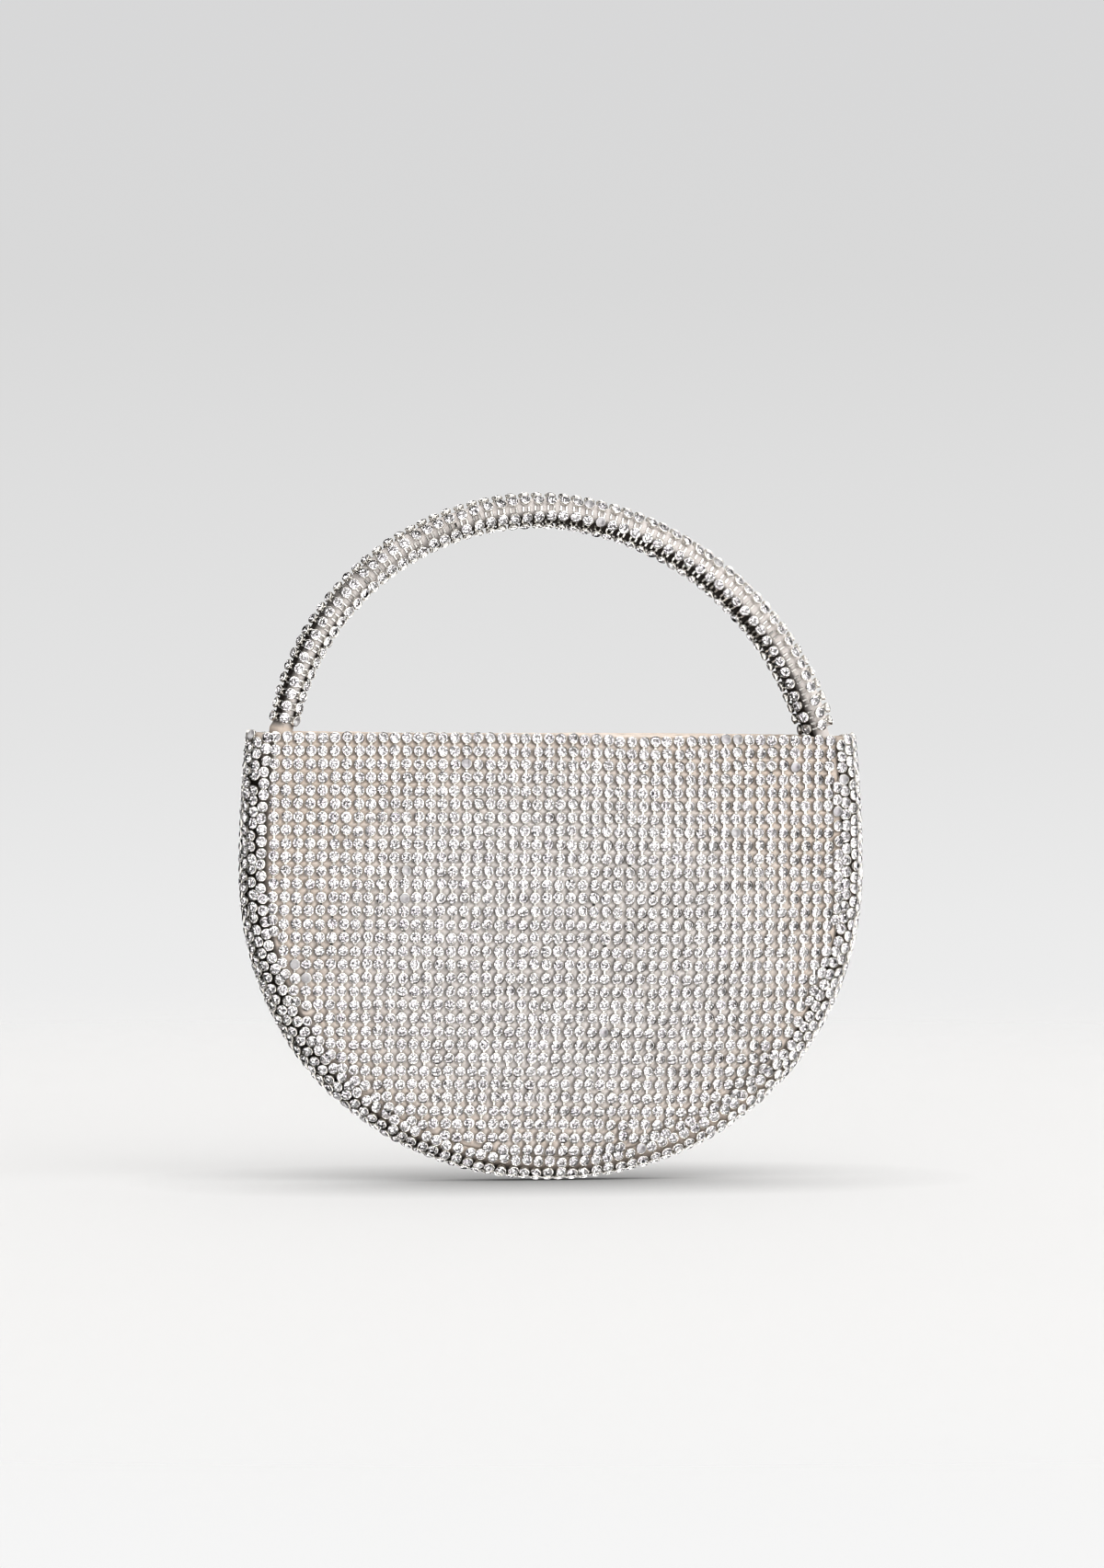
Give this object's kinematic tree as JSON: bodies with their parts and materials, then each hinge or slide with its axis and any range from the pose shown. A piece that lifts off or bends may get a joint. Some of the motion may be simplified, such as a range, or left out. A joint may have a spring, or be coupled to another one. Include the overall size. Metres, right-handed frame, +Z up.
{
  "type": "crystal handbag",
  "caption": "Half-round evening handbag covered in crystal mesh, with swollen panels, a rounded gusset, an open mouth and an arched padded top handle.",
  "frame": {"origin": "middle of the bag's foot, on the floor it stands on", "axes": "+Z up, +X across the bag to the right as seen from the front, +Y from the front to the back"},
  "size_m": [0.203, 0.0302, 0.2215],
  "materials": {
    "cream_cloth": "matt woven cream cloth",
    "crystal_mesh": "clear cut crystals with foiled backs, in polished silver-coloured metal cups joined by short links"
  },
  "bodies": {
    "root": {"front_cloth": "cream_cloth", "front_crystal_mesh": "crystal_mesh", "back_cloth": "cream_cloth", "back_crystal_mesh": "crystal_mesh", "gusset_cloth": "cream_cloth", "gusset_crystal_mesh": "crystal_mesh", "handle_core": "cream_cloth", "handle_crystal_mesh": "crystal_mesh"}
  },
  "joints": []
}
